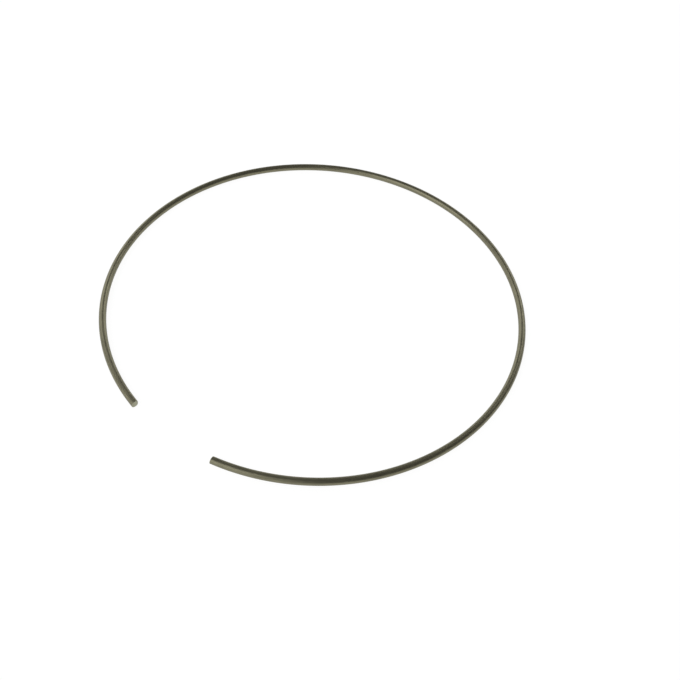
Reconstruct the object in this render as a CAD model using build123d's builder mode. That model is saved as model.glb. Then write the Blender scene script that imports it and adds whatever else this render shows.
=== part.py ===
from build123d import *
from math import asin, degrees, radians, tan
import os

# Round-wire snap ring that springs out into a groove in a bore. One length of spring steel wire
# is coiled into a single open turn and cropped off, so it is one piece of round section with two
# cut ends that face each other across the gap.
# Millimetres. The origin is the centre of the ring in the middle plane of the wire, +Z is the
# axis of the ring, and the gap is centred on -Y. The ring is drawn free, as it lies unfitted.

WIRE_DIAMETER = 2.0
OUTSIDE_DIAMETER = 120.0
# Straight across the gap, between the middles of the two cut faces.
END_GAP = 26.0

# The cropping blade crossed the wire from the inner side of the ring outwards. Each cut face leans
# this many degrees off square, with its outer edge further into the gap, and its inner edge is
# rolled over: across the face by the width, and along the wire by the depth.
CUT_LEAN = 5.0
ROLL_OVER_WIDTH = 0.4
ROLL_OVER_DEPTH = 0.2

wire_radius = WIRE_DIAMETER / 2
ring_radius = OUTSIDE_DIAMETER / 2 - wire_radius

# Angles are counted anticlockwise from +X, and the wire runs from its first end to its last.
# It is coiled too long by its own thickness at each end, and the crop takes that off.
half_gap_angle = degrees(asin(END_GAP / 2 / ring_radius))
first_end_angle = -90 + half_gap_angle
last_end_angle = 270 - half_gap_angle
spare_angle = degrees(WIRE_DIAMETER / ring_radius)
coil_start_angle = first_end_angle - spare_angle
coil_arc = last_end_angle + spare_angle - coil_start_angle

# The crop is drawn on a plane whose origin is the middle of the cut face, with x towards the
# centre of the ring and y into the gap. The waste is a block twice as long as the spare wire, and
# its outline passes the side of the wire by a little, so that the crop leaves no sliver there.
lean_slope = tan(radians(CUT_LEAN))
flat_edge = wire_radius - ROLL_OVER_WIDTH
past_side = wire_radius + ROLL_OVER_DEPTH / 10
waste_side = WIRE_DIAMETER
waste_end = 2 * WIRE_DIAMETER


def crop_plane(end_angle, gap_side):
    """Plane of the crop at one end; gap_side is 1 at the first end and -1 at the last."""
    outward = Vector(1, 0, 0).rotate(Axis.Z, end_angle)
    return Plane(origin=outward * ring_radius, x_dir=-outward, z_dir=(0, 0, gap_side))


with BuildPart() as snap_ring:
    # The coiled turn: the round section of the wire, carried round the axis.
    with BuildSketch(Plane.XZ.rotated((0, 0, coil_start_angle))):
        with Locations((ring_radius, 0)):
            Circle(wire_radius)
    revolve(axis=Axis.Z, revolution_arc=coil_arc)

    # The crop. Both ends are cut from the inner side outwards, so they are mirror images.
    for end_angle, gap_side in ((first_end_angle, 1), (last_end_angle, -1)):
        with BuildSketch(crop_plane(end_angle, gap_side)):
            with BuildLine():
                cut_face = Line((-waste_side, waste_side * lean_slope), (flat_edge, -flat_edge * lean_slope))
                rolled_depth = (cut_face @ 1).Y - ROLL_OVER_DEPTH
                TangentArc(cut_face @ 1, (past_side, rolled_depth), tangent=cut_face % 1)
                Polyline(
                    (past_side, rolled_depth),
                    (waste_side, rolled_depth),
                    (waste_side, waste_end),
                    (-waste_side, waste_end),
                    cut_face @ 0,
                )
            make_face()
        extrude(amount=WIRE_DIAMETER, both=True, mode=Mode.SUBTRACT)

snap_ring.part.label = "snap_ring"

os.makedirs("parts", exist_ok=True)
export_step(snap_ring.part, "parts/snap_ring.step")
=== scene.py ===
"""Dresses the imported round-wire snap ring: one open turn of spring steel wire, cropped at both ends.

Metres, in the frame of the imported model. The origin is the centre of the ring in the middle plane
of the wire, +Z is its axis, and the gap between the ends is centred on -Y.
"""

import logging
import math
from dataclasses import dataclass, field
from enum import Enum

import bmesh
import bpy
from mathutils import Euler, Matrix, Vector


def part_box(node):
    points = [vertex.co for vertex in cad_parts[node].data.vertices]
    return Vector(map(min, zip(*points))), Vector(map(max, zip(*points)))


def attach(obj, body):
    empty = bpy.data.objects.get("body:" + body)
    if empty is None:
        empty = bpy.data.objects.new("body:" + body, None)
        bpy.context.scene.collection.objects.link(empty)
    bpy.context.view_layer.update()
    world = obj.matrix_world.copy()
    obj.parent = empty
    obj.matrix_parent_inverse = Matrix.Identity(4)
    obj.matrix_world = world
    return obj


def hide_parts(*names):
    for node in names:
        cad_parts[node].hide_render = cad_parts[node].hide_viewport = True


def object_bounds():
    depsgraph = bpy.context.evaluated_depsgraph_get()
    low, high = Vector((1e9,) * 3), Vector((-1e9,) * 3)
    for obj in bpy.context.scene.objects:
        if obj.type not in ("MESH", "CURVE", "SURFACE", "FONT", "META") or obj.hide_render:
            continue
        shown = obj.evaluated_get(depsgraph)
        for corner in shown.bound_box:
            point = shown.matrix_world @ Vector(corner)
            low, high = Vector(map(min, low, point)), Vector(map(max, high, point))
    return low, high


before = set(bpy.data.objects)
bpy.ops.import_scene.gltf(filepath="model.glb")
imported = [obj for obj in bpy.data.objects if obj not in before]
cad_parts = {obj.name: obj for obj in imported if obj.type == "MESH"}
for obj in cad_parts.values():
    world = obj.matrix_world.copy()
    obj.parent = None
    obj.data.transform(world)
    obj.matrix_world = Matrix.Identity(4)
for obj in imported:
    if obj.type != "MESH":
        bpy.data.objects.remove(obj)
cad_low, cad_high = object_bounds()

# One millimetre, in the metres of the scene.
MM = 0.001

# What the frame calls the ring, its material and its body.
RING_NODE = "snap_ring"
RING_BODY = "root"

MATH = "ShaderNodeMath"
MAP_RANGE = "ShaderNodeMapRange"
NOISE = "ShaderNodeTexNoise"
# Nearly all of a noise, which runs from 0 to 1, lies between these two.
NOISE_LOW = 0.3
NOISE_HIGH = 0.7

log = logging.getLogger("snap_ring_scene")


def linear(hex_colour: str) -> tuple[float, float, float, float]:
    """Turns an sRGB hex colour into the linear colour that a shader takes.

    Args:
        hex_colour: Six hex digits, such as "7c7a6c".

    Returns:
        Red, green and blue, with an alpha of 1.
    """
    channels = [int(hex_colour[place : place + 2], 16) / 255 for place in (0, 2, 4)]
    return (*(c / 12.92 if c <= 0.04045 else ((c + 0.055) / 1.055) ** 2.4 for c in channels), 1.0)


def add_node(
    tree: bpy.types.NodeTree,
    kind: str,
    inputs: dict[str | int, object] | None = None,
    **settings: object,
) -> bpy.types.Node:
    """Adds a node with its settings, values and links.

    Args:
        tree: The tree that the node goes into.
        kind: The node's type.
        inputs: What goes into each input, by its name or number: a value, a socket to link from,
            or a node, which stands for its first output.
        settings: The node's own properties.

    Returns:
        The new node.
    """
    node = tree.nodes.new(kind)
    for name, value in settings.items():
        setattr(node, name, value)
    for key, value in (inputs or {}).items():
        source = value.outputs[0] if isinstance(value, bpy.types.Node) else value
        if isinstance(source, bpy.types.NodeSocket):
            tree.links.new(source, node.inputs[key])
        else:
            node.inputs[key].default_value = source
    return node


class InputKind(Enum):
    """Kind of value that goes into an input of the ring's node tree."""

    NUMBER = "NodeSocketFloat"
    COUNT = "NodeSocketInt"
    FINISH = "NodeSocketMaterial"


@dataclass(frozen=True)
class WirePlace:
    """Where a point lies on the wire, as shader sockets worked out from Object coordinates."""

    # Distance from the middle line of the wire, away from the centre of the ring.
    across: bpy.types.NodeSocket
    up: bpy.types.NodeSocket
    # Distance along the wire. Its seam falls in the gap between the ends.
    along: bpy.types.NodeSocket

    @classmethod
    def read(cls, tree: bpy.types.NodeTree, ring_radius: float) -> "WirePlace":
        """Adds the nodes that unroll the ring.

        Args:
            tree: The material's node tree.
            ring_radius: Radius of the wire's middle line.

        Returns:
            The place of each shaded point on the wire.
        """
        coordinates = add_node(tree, "ShaderNodeTexCoord")
        xyz = add_node(tree, "ShaderNodeSeparateXYZ", {0: coordinates.outputs["Object"]})
        x, y, z = xyz.outputs
        flat = add_node(tree, "ShaderNodeCombineXYZ", {"X": x, "Y": y})
        radius = add_node(tree, "ShaderNodeVectorMath", {0: flat}, operation="LENGTH")
        across = add_node(
            tree, MATH, {0: radius.outputs["Value"], 1: ring_radius}, operation="SUBTRACT"
        )
        angle = add_node(tree, MATH, {0: x, 1: y}, operation="ARCTAN2")
        along = add_node(tree, MATH, {0: angle, 1: ring_radius}, operation="MULTIPLY")
        return cls(across.outputs[0], z, along.outputs[0])

    def grain(
        self, tree: bpy.types.NodeTree, section_size: float, length: float, detail: float
    ) -> bpy.types.NodeSocket:
        """Adds a noise whose spots have a real size on the wire.

        Args:
            tree: The material's node tree.
            section_size: Size of a spot across the wire, in metres.
            length: Length of a spot along the wire, in metres.
            detail: How many finer layers the noise has.

        Returns:
            The noise, from 0 to 1.
        """
        place = add_node(
            tree, "ShaderNodeCombineXYZ", {"X": self.across, "Y": self.up, "Z": self.along}
        )
        scaled = add_node(
            tree,
            "ShaderNodeVectorMath",
            {0: place, 1: (1 / section_size, 1 / section_size, 1 / length)},
            operation="MULTIPLY",
        )
        noise = add_node(
            tree, NOISE, {"Vector": scaled, "Scale": 1.0, "Detail": detail}, noise_dimensions="3D"
        )
        return noise.outputs["Fac"]


@dataclass(frozen=True)
class MetalFinish:
    """What the two finishes of the wire share: a metal whose pattern follows the wire."""

    name: str

    def start(self) -> bpy.types.Material:
        """Makes the material of a plain metal.

        Returns:
            The material, which looks the same all over until it gets its pattern.
        """
        material = bpy.data.materials.new(self.name)
        material.use_nodes = True
        shader = material.node_tree.nodes["Principled BSDF"]
        shader.inputs["Metallic"].default_value = 1.0
        return material

    @staticmethod
    def add_pattern(
        material: bpy.types.Material,
        colour: bpy.types.NodeSocket,
        roughness: bpy.types.NodeSocket,
        bump: bpy.types.NodeSocket,
    ) -> None:
        """Gives a started material what varies over the wire.

        Args:
            material: The material.
            colour: Where its colour comes from.
            roughness: Where its roughness comes from.
            bump: Where its fine relief comes from.
        """
        tree = material.node_tree
        shader = tree.nodes["Principled BSDF"]
        tree.links.new(colour, shader.inputs["Base Color"])
        tree.links.new(roughness, shader.inputs["Roughness"])
        tree.links.new(bump, shader.inputs["Normal"])


@dataclass(frozen=True)
class OilTemperedSkin(MetalFinish):
    """Oil-tempered spring steel wire: drawn through dies, then quenched and tempered in oil.

    To the eye it is a satin metal under a thin dark oxide, grey with a touch of olive, a little
    blotchy, with fine drawing lines along it and soft reflections.
    """

    name: str = "oil_tempered_spring_wire"
    thin_oxide: str = "827f6a"
    thick_oxide: str = "777461"
    # The oxide follows the blotches, and the drawing lines by this share. It is wholly thin and
    # wholly thick at these sums of the two.
    line_share: float = 0.35
    thin_at: float = 0.5
    thick_at: float = 0.9
    # The drawing lines swing the roughness this far to either side of its mean.
    roughness: float = 0.42
    roughness_swing: float = 0.04
    # The drawing lines of real wire are about 0.03 mm apart, which is too fine for a picture where
    # a pixel covers 0.28 mm of the wire. They are drawn just coarse enough to show.
    line_spacing: float = 0.22 * MM
    line_length: float = 14 * MM
    line_depth: float = 0.004 * MM
    line_detail: float = 2.0
    blotch_width: float = 1.6 * MM
    blotch_length: float = 4 * MM
    blotch_detail: float = 3.0

    def build(self, ring_radius: float) -> bpy.types.Material:
        """Builds the material.

        Args:
            ring_radius: Radius of the wire's middle line, which its pattern follows.

        Returns:
            The material.
        """
        material = self.start()
        tree = material.node_tree
        place = WirePlace.read(tree, ring_radius)
        lines = place.grain(tree, self.line_spacing, self.line_length, self.line_detail)
        blotches = place.grain(tree, self.blotch_width, self.blotch_length, self.blotch_detail)
        oxide = add_node(
            tree, MATH, {0: lines, 1: self.line_share, 2: blotches}, operation="MULTIPLY_ADD"
        )
        oxide_share = add_node(
            tree,
            MAP_RANGE,
            {"Value": oxide, "From Min": self.thin_at, "From Max": self.thick_at},
        )
        colour = add_node(
            tree,
            "ShaderNodeMix",
            {
                "Factor": oxide_share,
                "A": linear(self.thin_oxide),
                "B": linear(self.thick_oxide),
            },
            data_type="RGBA",
        )
        roughness = add_node(
            tree,
            MAP_RANGE,
            {
                "Value": lines,
                "From Min": NOISE_LOW,
                "From Max": NOISE_HIGH,
                "To Min": self.roughness - self.roughness_swing,
                "To Max": self.roughness + self.roughness_swing,
            },
        )
        bump = add_node(
            tree, "ShaderNodeBump", {"Strength": 1.0, "Distance": self.line_depth, "Height": lines}
        )
        self.add_pattern(material, colour.outputs["Result"], roughness.outputs[0], bump.outputs[0])
        return material


@dataclass(frozen=True)
class ShearedSteel(MetalFinish):
    """Bare spring steel where the wire was cropped off, from the inner side outwards.

    To the eye it is lighter than the skin, which still covers the rolled edge. The half next to
    that is burnished by the blade, with fine scores in the blade's direction, and the rest tore
    off and is grainy and dull.
    """

    name: str = "sheared_bare_steel"
    burnished: str = "979782"
    torn: str = "a2a18b"
    rolled_skin: str = "7c7967"
    burnished_roughness: float = 0.32
    torn_roughness: float = 0.55
    score_spacing: float = 0.07 * MM
    score_length: float = 1.5 * MM
    score_depth: float = 0.008 * MM
    score_detail: float = 2.0
    grain_size: float = 0.12 * MM
    grain_depth: float = 0.04 * MM
    grain_detail: float = 3.0
    # Where the torn zone starts, measured outwards from the middle of the face, and how far and
    # in what steps the edges of the zones wander.
    zone_edge: float = 0.1 * MM
    zone_blur: float = 0.1 * MM
    zone_wander: float = 0.3 * MM
    wander_step: float = 0.4 * MM
    wander_detail: float = 4.0

    def build(self, ring_radius: float, flat_edge: float) -> bpy.types.Material:
        """Builds the material.

        Args:
            ring_radius: Radius of the wire's middle line, which its pattern follows.
            flat_edge: Distance from the middle of the face to the start of the rolled edge.

        Returns:
            The material.
        """
        material = self.start()
        tree = material.node_tree
        place = WirePlace.read(tree, ring_radius)
        torn_share, skin_share = self.add_zones(tree, place, flat_edge)
        bare = add_node(
            tree,
            "ShaderNodeMix",
            {"Factor": torn_share, "A": linear(self.burnished), "B": linear(self.torn)},
            data_type="RGBA",
        )
        colour = add_node(
            tree,
            "ShaderNodeMix",
            {
                "Factor": skin_share,
                "A": bare.outputs["Result"],
                "B": linear(self.rolled_skin),
            },
            data_type="RGBA",
        )
        roughness = add_node(
            tree,
            MAP_RANGE,
            {
                "Value": torn_share,
                "To Min": self.burnished_roughness,
                "To Max": self.torn_roughness,
            },
        )
        bump = self.add_relief(tree, place, torn_share)
        self.add_pattern(material, colour.outputs["Result"], roughness.outputs[0], bump.outputs[0])
        return material

    def add_zones(
        self, tree: bpy.types.NodeTree, place: WirePlace, flat_edge: float
    ) -> tuple[bpy.types.Node, bpy.types.Node]:
        """Adds the nodes that tell the zones of the face apart.

        Args:
            tree: The material's node tree.
            place: The place of each shaded point on the wire.
            flat_edge: Distance from the middle of the face to the start of the rolled edge.

        Returns:
            How far a point is torn, and how far it is under the rolled skin, each from 0 to 1.
        """
        wander = place.grain(tree, self.wander_step, self.wander_step, self.wander_detail)
        zone_place = add_node(
            tree, MATH, {0: wander, 1: self.zone_wander, 2: place.across}, operation="MULTIPLY_ADD"
        )
        # A noise is a half on average.
        mean_wander = self.zone_wander / 2
        torn_share = add_node(
            tree,
            MAP_RANGE,
            {
                "Value": zone_place,
                "From Min": mean_wander + self.zone_edge,
                "From Max": mean_wander + self.zone_edge + self.zone_blur,
            },
            interpolation_type="SMOOTHSTEP",
        )
        skin_share = add_node(
            tree,
            MAP_RANGE,
            {
                "Value": zone_place,
                "From Min": mean_wander - flat_edge,
                "From Max": mean_wander - flat_edge - self.zone_blur,
            },
            interpolation_type="SMOOTHSTEP",
        )
        return torn_share, skin_share

    def add_relief(
        self, tree: bpy.types.NodeTree, place: WirePlace, torn_share: bpy.types.Node
    ) -> bpy.types.Node:
        """Adds scores where the face is burnished, and grains where it tore.

        Args:
            tree: The material's node tree.
            place: The place of each shaded point on the wire.
            torn_share: How far a point is torn.

        Returns:
            The bump node.
        """
        score_place = add_node(
            tree,
            "ShaderNodeCombineXYZ",
            {
                "X": add_node(
                    tree, MATH, {0: place.across, 1: 1 / self.score_length}, operation="MULTIPLY"
                ),
                "Y": add_node(
                    tree, MATH, {0: place.up, 1: 1 / self.score_spacing}, operation="MULTIPLY"
                ),
            },
        )
        scores = add_node(
            tree,
            NOISE,
            {"Vector": score_place, "Scale": 1.0, "Detail": self.score_detail},
            noise_dimensions="2D",
        )
        grain = place.grain(tree, self.grain_size, self.grain_size, self.grain_detail)
        height = add_node(
            tree,
            "ShaderNodeMix",
            {
                "Factor": torn_share,
                "A": add_node(tree, MATH, {0: scores, 1: self.score_depth}, operation="MULTIPLY"),
                "B": add_node(tree, MATH, {0: grain, 1: self.grain_depth}, operation="MULTIPLY"),
            },
            data_type="FLOAT",
        )
        return add_node(
            tree, "ShaderNodeBump", {"Strength": 1.0, "Distance": 1.0, "Height": height}
        )


class CroppedTurnTree:
    """Geometry Nodes tree that bends a flat grid into an open turn of wire with two cut faces.

    The grid is one unit square. Its X runs along the wire, where each step is a row, and its Y
    runs once round the wire.
    """

    # Rows crowd towards the two ends by this share, for the shape of the cut edges.
    END_CROWDING = 0.8
    # A cut face's rings crowd towards its rim by this power.
    RIM_CROWDING = 2.0
    WELD_DISTANCE = 0.001 * MM
    # The bake map: the wire cut into strips laid side by side, and the two faces beside them.
    MAP_NAME = "OFBake"
    MAP_STRIPS = 8
    MAP_STRIPS_SHARE = 0.9
    MAP_MARGIN = 0.03
    MAP_FACE_SIZE = 0.08

    # What the steps below hand on to one another. First the flat grid, and for each of its points
    # the share of the turn round the wire, the row, and the rows from there to the nearer end.
    grid: bpy.types.Node
    turn_share: bpy.types.NodeSocket
    row: bpy.types.Node
    rows_to_end: bpy.types.Node
    # Which half of the wire the row lies in: 0 is the first end's, and 1 the last end's.
    at_last: bpy.types.Node
    # How far along the wire the row lies, as a share of its length, as a distance from the nearer
    # end, and as an angle, with the ends still square.
    length_share: bpy.types.Node
    from_end: bpy.types.Node
    square_angle: bpy.types.Node
    # Where the point lies in the round section, and how far in from its rim.
    round_across: bpy.types.Node
    up: bpy.types.Node
    from_rim: bpy.types.Node
    # How far the crop sets the point back into the wire, and its place on the finished wire.
    set_back: bpy.types.Node
    place: bpy.types.Node
    # The grid with its cut faces marked, and then with its map.
    marked: bpy.types.Node
    mapped: bpy.types.Node

    def __init__(self, inputs: dict[str, tuple[InputKind, object]]) -> None:
        """Makes an empty tree with its inputs.

        Args:
            inputs: Each input's kind and value, by its name.
        """
        self.tree = bpy.data.node_groups.new("cropped_wire_turn", "GeometryNodeTree")
        for name, (kind, _) in inputs.items():
            self.tree.interface.new_socket(name, in_out="INPUT", socket_type=kind.value)
        self.tree.interface.new_socket(
            "Geometry", in_out="OUTPUT", socket_type="NodeSocketGeometry"
        )
        self.given = add_node(self.tree, "NodeGroupInput").outputs

    def build(self) -> bpy.types.NodeTree:
        """Adds every node, in the order in which the shape is worked out.

        Returns:
            The finished tree.
        """
        self.lay_grid()
        self.place_rows()
        self.shape_section()
        self.crop_ends()
        self.bend_rows()
        self.mark_faces()
        self.map_surface()
        self.finish_mesh()
        return self.tree

    def lay_grid(self) -> None:
        """Lays a flat grid of one unit, and counts its rows from the middle of the first face."""
        tree, given = self.tree, self.given
        rows = add_node(
            tree,
            MATH,
            {0: given["Face Rings"], 1: 2.0, 2: given["Rows Along"]},
            operation="MULTIPLY_ADD",
        )
        self.grid = add_node(
            tree,
            "GeometryNodeMeshGrid",
            {
                "Size X": 1.0,
                "Size Y": 1.0,
                "Vertices X": add_node(tree, MATH, {0: rows, 1: 1.0}, operation="ADD"),
                "Vertices Y": add_node(
                    tree, MATH, {0: given["Points Around"], 1: 1.0}, operation="ADD"
                ),
            },
        )
        corner_place = add_node(
            tree,
            "ShaderNodeVectorMath",
            {0: add_node(tree, "GeometryNodeInputPosition"), 1: (0.5, 0.5, 0.0)},
            operation="ADD",
        )
        split = add_node(tree, "ShaderNodeSeparateXYZ", {0: corner_place})
        self.turn_share = split.outputs["Y"]
        self.row = add_node(tree, MATH, {0: split.outputs["X"], 1: rows}, operation="MULTIPLY")
        rows_left = add_node(tree, MATH, {0: rows, 1: self.row}, operation="SUBTRACT")
        self.rows_to_end = add_node(tree, MATH, {0: self.row, 1: rows_left}, operation="MINIMUM")

    def place_rows(self) -> None:
        """Works out how far along the wire each row lies, and which end it is nearer to."""
        tree, given = self.tree, self.given
        side_row = add_node(tree, MATH, {0: self.row, 1: given["Face Rings"]}, operation="SUBTRACT")
        share = add_node(
            tree,
            MATH,
            {0: side_row, 1: given["Rows Along"]},
            operation="DIVIDE",
            use_clamp=True,
        )
        wave = add_node(
            tree,
            MATH,
            {0: add_node(tree, MATH, {0: share, 1: math.tau}, operation="MULTIPLY")},
            operation="SINE",
        )
        self.length_share = add_node(
            tree,
            MATH,
            {0: wave, 1: -self.END_CROWDING / math.tau, 2: share},
            operation="MULTIPLY_ADD",
        )
        self.at_last = add_node(tree, MATH, {0: share, 1: 0.5}, operation="GREATER_THAN")
        share_left = add_node(tree, MATH, {0: 1.0, 1: self.length_share}, operation="SUBTRACT")
        nearer = add_node(tree, MATH, {0: self.length_share, 1: share_left}, operation="MINIMUM")
        turned = add_node(tree, MATH, {0: nearer, 1: given["Sweep"]}, operation="MULTIPLY")
        self.from_end = add_node(
            tree, MATH, {0: turned, 1: given["Ring Radius"]}, operation="MULTIPLY"
        )
        self.square_angle = add_node(
            tree,
            MATH,
            {0: self.length_share, 1: given["Sweep"], 2: given["First Angle"]},
            operation="MULTIPLY_ADD",
        )

    def shape_section(self) -> None:
        """Rolls each row up into a circle, and shrinks the rows of the cut faces."""
        tree, given = self.tree, self.given
        face_share = add_node(
            tree,
            MATH,
            {0: self.rows_to_end, 1: given["Face Rings"]},
            operation="DIVIDE",
            use_clamp=True,
        )
        inward = add_node(tree, MATH, {0: 1.0, 1: face_share}, operation="SUBTRACT")
        crowded = add_node(tree, MATH, {0: inward, 1: self.RIM_CROWDING}, operation="POWER")
        rim_share = add_node(tree, MATH, {0: 1.0, 1: crowded}, operation="SUBTRACT")
        radius = add_node(
            tree, MATH, {0: rim_share, 1: given["Wire Radius"]}, operation="MULTIPLY"
        )
        self.from_rim = add_node(
            tree, MATH, {0: given["Wire Radius"], 1: radius}, operation="SUBTRACT"
        )
        around = add_node(tree, MATH, {0: self.turn_share, 1: math.tau}, operation="MULTIPLY")
        cosine = add_node(tree, MATH, {0: around}, operation="COSINE")
        sine = add_node(tree, MATH, {0: around}, operation="SINE")
        self.round_across = add_node(tree, MATH, {0: cosine, 1: radius}, operation="MULTIPLY")
        self.up = add_node(tree, MATH, {0: sine, 1: radius}, operation="MULTIPLY")

    def rounding(self, reach: bpy.types.Node, radius: bpy.types.NodeSocket) -> bpy.types.Node:
        """Adds how far a round edge falls back from the cut face.

        Args:
            reach: How far past the start of the rounding a point lies.
            radius: Radius of the rounding.

        Returns:
            The depth, which is nothing up to the start of the rounding.
        """
        tree = self.tree
        past_start = add_node(tree, MATH, {0: reach, 1: 0.0}, operation="MAXIMUM")
        chord = add_node(
            tree,
            MATH,
            {
                0: add_node(tree, MATH, {0: radius, 1: 2.0}, operation="POWER"),
                1: add_node(tree, MATH, {0: past_start, 1: 2.0}, operation="POWER"),
            },
            operation="SUBTRACT",
        )
        height = add_node(tree, MATH, {0: chord}, operation="SQRT")
        return add_node(tree, MATH, {0: radius, 1: height}, operation="SUBTRACT")

    def crop_ends(self) -> None:
        """Works out how far the crop sets each point back from a square cut through its middle.

        It is the sum of the lean, the rolled inner edge, the worn rim and the unevenness where the
        steel tore. The side of the wire takes it up, so that it fades out along the wire.
        """
        tree, given = self.tree, self.given
        inward = add_node(tree, MATH, {0: self.round_across, 1: -1.0}, operation="MULTIPLY")
        past_flat = add_node(tree, MATH, {0: inward, 1: given["Flat Edge"]}, operation="SUBTRACT")
        rolled_depth = self.rounding(past_flat, given["Roll-Over Radius"])
        past_rim = add_node(
            tree, MATH, {0: given["Rim Radius"], 1: self.from_rim}, operation="SUBTRACT"
        )
        rim_depth = self.rounding(past_rim, given["Rim Radius"])
        edge_depth = add_node(tree, MATH, {0: rolled_depth, 1: rim_depth}, operation="ADD")
        torn_share = add_node(
            tree,
            MAP_RANGE,
            {
                "Value": self.round_across,
                "From Max": given["Flat Edge"],
                "To Max": given["Tear Depth"],
            },
            interpolation_type="SMOOTHSTEP",
        )
        tear_noise = add_node(
            tree,
            NOISE,
            {
                "Vector": add_node(
                    tree, "ShaderNodeCombineXYZ", {"X": inward, "Y": self.up, "Z": self.at_last}
                ),
                "W": given["Seed"],
                "Scale": add_node(tree, MATH, {0: 1.0, 1: given["Tear Size"]}, operation="DIVIDE"),
            },
            noise_dimensions="4D",
        )
        torn = add_node(tree, MATH, {0: torn_share, 1: tear_noise}, operation="MULTIPLY")
        cut_depth = add_node(
            tree,
            MATH,
            {0: inward, 1: given["Cut Slope"], 2: edge_depth},
            operation="MULTIPLY_ADD",
        )
        take_up = add_node(
            tree,
            MAP_RANGE,
            {
                "Value": self.from_end,
                "From Max": given["Lean Take-Up"],
                "To Min": 1.0,
                "To Max": 0.0,
            },
            interpolation_type="SMOOTHSTEP",
        )
        self.set_back = add_node(
            tree,
            MATH,
            {0: add_node(tree, MATH, {0: cut_depth, 1: torn}, operation="ADD"), 1: take_up},
            operation="MULTIPLY",
        )

    def bend_rows(self) -> None:
        """Works out the place of each point, on a row turned round the axis of the ring."""
        tree, given = self.tree, self.given
        radius = add_node(
            tree, MATH, {0: given["Ring Radius"], 1: self.round_across}, operation="ADD"
        )
        into_wire = add_node(tree, MAP_RANGE, {"Value": self.at_last, "To Min": 1.0, "To Max": -1.0})
        set_back_angle = add_node(
            tree,
            MATH,
            {
                0: add_node(tree, MATH, {0: self.set_back, 1: radius}, operation="DIVIDE"),
                1: into_wire,
                2: self.square_angle,
            },
            operation="MULTIPLY_ADD",
        )
        self.place = add_node(
            tree,
            "ShaderNodeVectorRotate",
            {
                "Vector": add_node(tree, "ShaderNodeCombineXYZ", {"X": radius, "Z": self.up}),
                "Angle": set_back_angle,
            },
            rotation_type="Z_AXIS",
        )

    def mark_faces(self) -> None:
        """Marks the cut faces while the grid is still flat."""
        tree, given = self.tree, self.given
        on_face = add_node(
            tree, MATH, {0: self.rows_to_end, 1: given["Face Rings"]}, operation="LESS_THAN"
        )
        self.marked = add_node(
            tree, "GeometryNodeCaptureAttribute", {"Geometry": self.grid}, domain="FACE"
        )
        self.marked.capture_items.new("BOOLEAN", "Is Cut Face")
        tree.links.new(on_face.outputs[0], self.marked.inputs["Is Cut Face"])

    def map_surface(self) -> None:
        """Gives the grid the map that it is baked through."""
        tree, given = self.tree, self.given
        strip_place = add_node(
            tree, MATH, {0: self.length_share, 1: float(self.MAP_STRIPS)}, operation="MULTIPLY"
        )
        face_mean = add_node(
            tree, "GeometryNodeFieldOnDomain", {"Value": strip_place}, domain="FACE"
        )
        strip = add_node(tree, MATH, {0: face_mean}, operation="FLOOR")
        in_strip = add_node(tree, MATH, {0: strip_place, 1: strip}, operation="SUBTRACT")
        inner_share = 1 - 2 * self.MAP_MARGIN
        map_x = add_node(
            tree, MATH, {0: in_strip, 1: inner_share, 2: self.MAP_MARGIN}, operation="MULTIPLY_ADD"
        )
        turn_in_strip = add_node(
            tree,
            MATH,
            {0: self.turn_share, 1: inner_share, 2: self.MAP_MARGIN},
            operation="MULTIPLY_ADD",
        )
        strips_below = add_node(tree, MATH, {0: strip, 1: turn_in_strip}, operation="ADD")
        map_y = add_node(
            tree,
            MATH,
            {0: strips_below, 1: self.MAP_STRIPS_SHARE / self.MAP_STRIPS},
            operation="MULTIPLY",
        )
        face_size = add_node(
            tree, MATH, {0: self.MAP_FACE_SIZE / 2, 1: given["Wire Radius"]}, operation="DIVIDE"
        )
        face_centre = add_node(
            tree,
            MAP_RANGE,
            {"Value": self.at_last, "To Min": self.MAP_FACE_SIZE, "To Max": 3 * self.MAP_FACE_SIZE},
        )
        face_x = add_node(
            tree,
            MATH,
            {0: self.round_across, 1: face_size, 2: face_centre},
            operation="MULTIPLY_ADD",
        )
        face_y = add_node(
            tree,
            MATH,
            {0: self.up, 1: face_size, 2: (1 + self.MAP_STRIPS_SHARE) / 2},
            operation="MULTIPLY_ADD",
        )
        chosen = add_node(
            tree,
            "GeometryNodeSwitch",
            {
                "Switch": self.marked.outputs["Is Cut Face"],
                "False": add_node(tree, "ShaderNodeCombineXYZ", {"X": map_x, "Y": map_y}),
                "True": add_node(tree, "ShaderNodeCombineXYZ", {"X": face_x, "Y": face_y}),
            },
            input_type="VECTOR",
        )
        self.mapped = add_node(
            tree,
            "GeometryNodeStoreNamedAttribute",
            {"Geometry": self.marked, "Name": self.MAP_NAME, "Value": chosen},
            data_type="FLOAT2",
            domain="CORNER",
        )

    def finish_mesh(self) -> None:
        """Bends the grid, welds its seam and poles, shades it and gives it its materials."""
        tree, given = self.tree, self.given
        bent = add_node(
            tree, "GeometryNodeSetPosition", {"Geometry": self.mapped, "Position": self.place}
        )
        welded = add_node(
            tree, "GeometryNodeMergeByDistance", {"Geometry": bent, "Distance": self.WELD_DISTANCE}
        )
        smooth = add_node(
            tree,
            "GeometryNodeSetShadeSmooth",
            {"Geometry": welded, "Shade Smooth": True},
            domain="FACE",
        )
        real = add_node(tree, "GeometryNodeRealizeInstances", {"Geometry": smooth})
        skinned = add_node(
            tree, "GeometryNodeSetMaterial", {"Geometry": real, "Material": given["Skin"]}
        )
        faced = add_node(
            tree,
            "GeometryNodeSetMaterial",
            {
                "Geometry": skinned,
                "Selection": self.marked.outputs["Is Cut Face"],
                "Material": given["Cut Face"],
            },
        )
        add_node(tree, "NodeGroupOutput", {"Geometry": faced})


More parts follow.
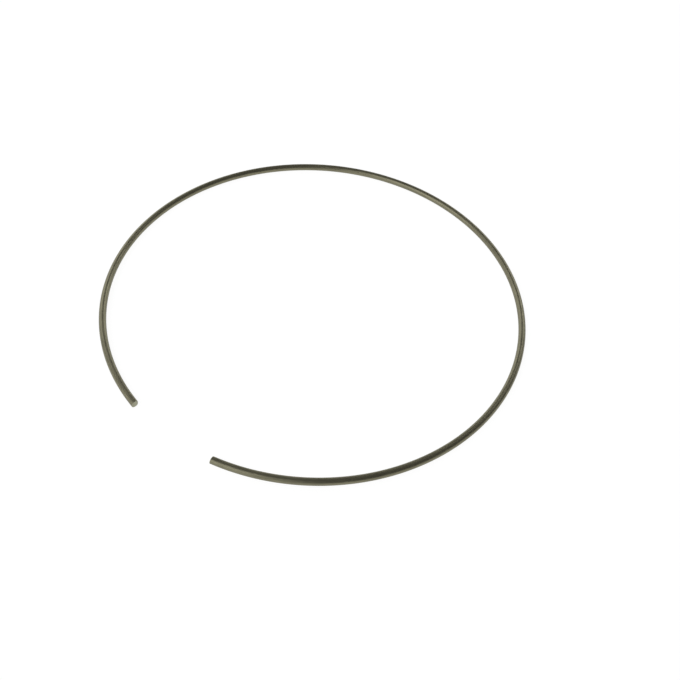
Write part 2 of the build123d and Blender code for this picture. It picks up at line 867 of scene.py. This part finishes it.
@dataclass
class WireRing:
    """The whole part: one open turn of round wire.

    Its mesh is a flat grid bent by a rule. The rows of the grid follow one another along the wire,
    each once round it, and the first and last few shrink to a point, which closes the cut faces.
    """

    # The corners of the CAD node's box.
    low: Vector
    high: Vector
    # Straight across the gap, between the middles of the two cut faces.
    end_gap: float = 26 * MM
    # Each cut face leans this far off square, with its outer edge further into the gap.
    cut_lean: float = math.radians(5)
    # The side of the wire takes up the lean of the cut over this length, to keep its rows apart.
    lean_take_up: float = 3 * MM
    # The inner edge of each cut face is rolled over: across the face, and along the wire.
    roll_over_width: float = 0.4 * MM
    roll_over_depth: float = 0.2 * MM
    # Handling took the sharpness off the rim.
    rim_radius: float = 0.06 * MM
    # Unevenness of the torn part of a cut face.
    tear_depth: float = 0.012 * MM
    tear_size: float = 0.3 * MM
    skin: OilTemperedSkin = field(default_factory=OilTemperedSkin)
    cut_face: ShearedSteel = field(default_factory=ShearedSteel)
    # Mesh: rows along the wire, rings of each cut face, and points round the wire.
    rows_along: int = 720
    face_rings: int = 12
    points_around: int = 64
    seed: int = 7

    @property
    def wire_radius(self) -> float:
        """Radius of the wire: the shorter reach of the CAD node's faceted box above and below it."""
        return min(self.high.z, -self.low.z)

    @property
    def ring_radius(self) -> float:
        """Radius of the wire's middle line, from the shortest reach of the CAD node's box."""
        return min(self.high.x, -self.low.x, self.high.y) - self.wire_radius

    @property
    def half_gap_angle(self) -> float:
        """Angle from the middle of the gap to the middle of either cut face."""
        return math.asin(self.end_gap / 2 / self.ring_radius)

    @property
    def roll_over_radius(self) -> float:
        """Radius of the rolled edge, which starts flush with the cut face."""
        return (self.roll_over_width**2 + self.roll_over_depth**2) / (2 * self.roll_over_depth)

    @property
    def flat_edge(self) -> float:
        """Distance from the middle of a cut face to the start of its rolled edge."""
        return self.wire_radius - self.roll_over_width

    def inputs(self) -> dict[str, tuple[InputKind, object]]:
        """Builds the two finishes and lists what the tree takes.

        Returns:
            Each input's kind and value, by its name.
        """
        skin = self.skin.build(self.ring_radius)
        cut_face = self.cut_face.build(self.ring_radius, self.flat_edge)
        return {
            "Ring Radius": (InputKind.NUMBER, self.ring_radius),
            "Wire Radius": (InputKind.NUMBER, self.wire_radius),
            "First Angle": (InputKind.NUMBER, self.half_gap_angle - math.pi / 2),
            "Sweep": (InputKind.NUMBER, math.tau - 2 * self.half_gap_angle),
            "Cut Slope": (InputKind.NUMBER, math.tan(self.cut_lean)),
            "Lean Take-Up": (InputKind.NUMBER, self.lean_take_up),
            "Flat Edge": (InputKind.NUMBER, self.flat_edge),
            "Roll-Over Radius": (InputKind.NUMBER, self.roll_over_radius),
            "Rim Radius": (InputKind.NUMBER, self.rim_radius),
            "Tear Depth": (InputKind.NUMBER, self.tear_depth),
            "Tear Size": (InputKind.NUMBER, self.tear_size),
            "Rows Along": (InputKind.COUNT, self.rows_along),
            "Face Rings": (InputKind.COUNT, self.face_rings),
            "Points Around": (InputKind.COUNT, self.points_around),
            "Seed": (InputKind.COUNT, self.seed),
            "Skin": (InputKind.FINISH, skin),
            "Cut Face": (InputKind.FINISH, cut_face),
        }

    def build(self) -> bpy.types.Object:
        """Builds the wire and turns it into a plain mesh.

        Returns:
            The ring's object, at the origin, with no modifier left on it.
        """
        inputs = self.inputs()
        tree = CroppedTurnTree(inputs).build()
        maker = bpy.data.objects.new("wire_maker", bpy.data.meshes.new("wire_maker"))
        bpy.context.collection.objects.link(maker)
        modifier = maker.modifiers.new("cropped_wire_turn", "NODES")
        modifier.node_group = tree
        for item in tree.interface.items_tree:
            if item.in_out == "INPUT":
                modifier[item.identifier] = inputs[item.name][1]
        evaluated = maker.evaluated_get(bpy.context.evaluated_depsgraph_get())
        mesh = bpy.data.meshes.new_from_object(evaluated)
        mesh.name = "snap_ring_wire"
        # The grid came with an empty material slot, which none of its faces uses any more.
        mesh.materials.pop(index=0)
        # This removes the maker too, with its modifier.
        bpy.data.meshes.remove(maker.data)
        ring = bpy.data.objects.new("snap_ring_wire", mesh)
        bpy.context.collection.objects.link(ring)
        return ring

    def dress(self, ring: bpy.types.Object) -> None:
        """Puts the wire in the place of its CAD node.

        Args:
            ring: The ring's finished object.
        """
        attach(ring, RING_BODY)
        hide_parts(RING_NODE)


@dataclass(frozen=True)
class PaperWhite:
    """Matt white paper under and behind the part.

    The camera and the wire see it as plain white, with the faint shadow that the part leaves on it.
    """

    name: str = "matt_white_paper"
    colour: str = "f2f2f2"
    # How much of the paper's own white is steady, and how much is the light that falls on it.
    steady_share: float = 0.94
    lit_share: float = 0.14

    def build(self) -> bpy.types.Material:
        """Builds the material.

        Returns:
            The material, which is steady white to the rays that look at it and lit to the rest.
        """
        material = bpy.data.materials.new(self.name)
        material.use_nodes = True
        tree = material.node_tree
        tree.nodes.remove(tree.nodes["Principled BSDF"])
        lit = add_node(tree, "ShaderNodeBsdfDiffuse", {"Color": linear(self.colour)})
        part_lit = add_node(
            tree,
            "ShaderNodeBsdfDiffuse",
            {"Color": (self.lit_share, self.lit_share, self.lit_share, 1.0)},
        )
        steady = add_node(tree, "ShaderNodeEmission", {"Strength": self.steady_share})
        seen = add_node(tree, "ShaderNodeAddShader", {0: steady, 1: part_lit})
        path = add_node(tree, "ShaderNodeLightPath").outputs
        direct = add_node(
            tree, MATH, {0: path["Is Camera Ray"], 1: path["Is Glossy Ray"]}, operation="MAXIMUM"
        )
        looked_at = add_node(
            tree, MATH, {0: direct, 1: path["Is Transmission Ray"]}, operation="MAXIMUM"
        )
        chosen = add_node(tree, "ShaderNodeMixShader", {0: looked_at, 1: lit, 2: seen})
        tree.links.new(chosen.outputs[0], tree.nodes["Material Output"].inputs["Surface"])
        return material


@dataclass(frozen=True)
class StudioCove:
    """Pale floor that the part lies on, swept up into a low wall all round."""

    level: float
    radius: float = 3.0
    wall_height: float = 0.6
    sweep_radius: float = 0.3
    sweep_steps: int = 8
    sides: int = 96
    finish: PaperWhite = field(default_factory=PaperWhite)

    def profile(self) -> list[tuple[float, float]]:
        """Draws the cove's section from the edge of the flat floor to the top of the wall.

        Returns:
            Points, each with its distance from the middle and its height above the floor.
        """
        points = []
        for step in range(self.sweep_steps + 1):
            turn = math.pi / 2 * step / self.sweep_steps
            inset = self.sweep_radius * (1 - math.sin(turn))
            rise = self.sweep_radius * (1 - math.cos(turn))
            points.append((self.radius - inset, rise))
        points.append((self.radius, self.wall_height))
        return points

    def build(self) -> bpy.types.Object:
        """Builds the cove and marks it as no part of the object.

        Returns:
            The cove's object.
        """
        shape = bmesh.new()
        turns = [math.tau * side / self.sides for side in range(self.sides)]
        rings = [
            [
                shape.verts.new(
                    (radius * math.cos(turn), radius * math.sin(turn), self.level + height)
                )
                for turn in turns
            ]
            for radius, height in self.profile()
        ]
        shape.faces.new(rings[0])
        for lower, upper in zip(rings, rings[1:]):
            for side in range(self.sides):
                after = (side + 1) % self.sides
                shape.faces.new((lower[side], upper[side], upper[after], lower[after]))
        for face in shape.faces:
            face.smooth = True
        mesh = bpy.data.meshes.new("studio_cove")
        shape.to_mesh(mesh)
        shape.free()
        mesh.materials.append(self.finish.build())
        cove = bpy.data.objects.new("studio_cove", mesh)
        bpy.context.collection.objects.link(cove)
        return cove


@dataclass(frozen=True)
class Softbox:
    """Round soft light that faces the part from behind the wall of the cove."""

    name: str
    # Where it stands: anticlockwise from +X, and up from level.
    compass: float
    height_angle: float
    # Half the angle that it spans, seen from the part, and its brightness, where 1 is white.
    half_span: float
    brightness: float
    distance: float = 3.6

    def build(self) -> bpy.types.Object:
        """Builds the lamp, turned to face the part.

        Returns:
            The lamp's object, which the camera doesn't see.
        """
        lamp = bpy.data.lights.new(self.name, "AREA")
        lamp.shape = "DISK"
        radius = self.distance * math.tan(self.half_span)
        lamp.size = 2 * radius
        # At a brightness of 1, each square metre of the disk gives off pi watts.
        disk_area = math.pi * radius**2
        lamp.energy = self.brightness * math.pi * disk_area
        softbox = bpy.data.objects.new(self.name, lamp)
        level_share = math.cos(self.height_angle)
        towards = Vector(
            (
                math.cos(self.compass) * level_share,
                math.sin(self.compass) * level_share,
                math.sin(self.height_angle),
            )
        )
        softbox.location = towards * self.distance
        softbox.rotation_euler = towards.to_track_quat("Z", "Y").to_euler()
        softbox.visible_camera = False
        bpy.context.collection.objects.link(softbox)
        return softbox


@dataclass(frozen=True)
class StudioLight:
    """Three softboxes low down round the part, in a dim room."""

    softboxes: tuple[Softbox, ...] = (
        Softbox(
            name="key_softbox",
            compass=math.radians(250.6),
            height_angle=math.radians(31.2),
            half_span=math.radians(31.9),
            brightness=1.7,
        ),
        Softbox(
            name="side_softbox",
            compass=math.radians(165.5),
            height_angle=math.radians(26.5),
            half_span=math.radians(23.6),
            brightness=1.46,
        ),
        Softbox(
            name="back_softbox",
            compass=math.radians(90.0),
            height_angle=math.radians(30.5),
            half_span=math.radians(16.4),
            brightness=1.92,
        ),
    )
    room_colour: str = "ffffff"
    # Brightness of the room at the horizon and overhead.
    room_level: float = 0.04
    room_overhead: float = 0.19

    def build(self) -> list[bpy.types.Object]:
        """Builds the softboxes and the room's own light.

        Returns:
            The softboxes' objects.
        """
        world = bpy.data.worlds.new("dim_room")
        world.use_nodes = True
        tree = world.node_tree
        direction = add_node(tree, "ShaderNodeTexCoord").outputs["Generated"]
        split = add_node(tree, "ShaderNodeSeparateXYZ", {0: direction})
        strength = add_node(
            tree,
            MAP_RANGE,
            {"Value": split.outputs["Z"], "To Min": self.room_level, "To Max": self.room_overhead},
        )
        background = tree.nodes["Background"]
        background.inputs["Color"].default_value = linear(self.room_colour)
        tree.links.new(strength.outputs[0], background.inputs["Strength"])
        bpy.context.scene.world = world
        return [softbox.build() for softbox in self.softboxes]


@dataclass(frozen=True)
class StudioCamera:
    """Camera that looks down on the ring from the side of its gap."""

    place: tuple[float, float, float] = (93.34 * MM, -130.25 * MM, 175.57 * MM)
    # Looking direction: anticlockwise from +Y, down from level, and the tilt of the picture.
    heading: float = math.radians(32.74)
    look_down: float = math.radians(50.252)
    roll: float = math.radians(5.363)
    lens_mm: float = 44.11
    nearest: float = 10 * MM
    farthest: float = 20.0

    def build(self) -> bpy.types.Object:
        """Builds the camera and makes it the scene's own.

        Returns:
            The camera's object.
        """
        data = bpy.data.cameras.new("studio_camera")
        data.lens = self.lens_mm
        data.clip_start = self.nearest
        data.clip_end = self.farthest
        camera = bpy.data.objects.new("studio_camera", data)
        tilt = Euler((math.pi / 2 - self.look_down, 0.0, self.heading)).to_matrix()
        roll = Euler((0.0, 0.0, self.roll)).to_matrix()
        camera.rotation_euler = (tilt @ roll).to_euler()
        camera.location = self.place
        bpy.context.collection.objects.link(camera)
        bpy.context.scene.camera = camera
        return camera


def main() -> None:
    """Builds the camera, the studio and the ring, and reports each piece."""
    logging.basicConfig(level=logging.INFO, format="%(name)s: %(message)s")
    bpy.context.scene.view_settings.view_transform = "Standard"

    camera = StudioCamera().build()
    log.info("%s, lens %.1f mm", camera.name, camera.data.lens)

    low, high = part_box(RING_NODE)
    wire_ring = WireRing(low=low, high=high)
    ring = wire_ring.build()
    wire_ring.dress(ring)
    log.info(
        "%s: %d faces, wire %.2f mm, outside %.2f mm",
        ring.name,
        len(ring.data.polygons),
        2 * wire_ring.wire_radius / MM,
        (high.x - low.x) / MM,
    )

    cove = StudioCove(level=cad_low.z).build()
    log.info("%s", cove.name)
    for softbox in StudioLight().build():
        log.info("%s, %.1f m across", softbox.name, softbox.data.size)


if __name__ == "__main__":
    main()
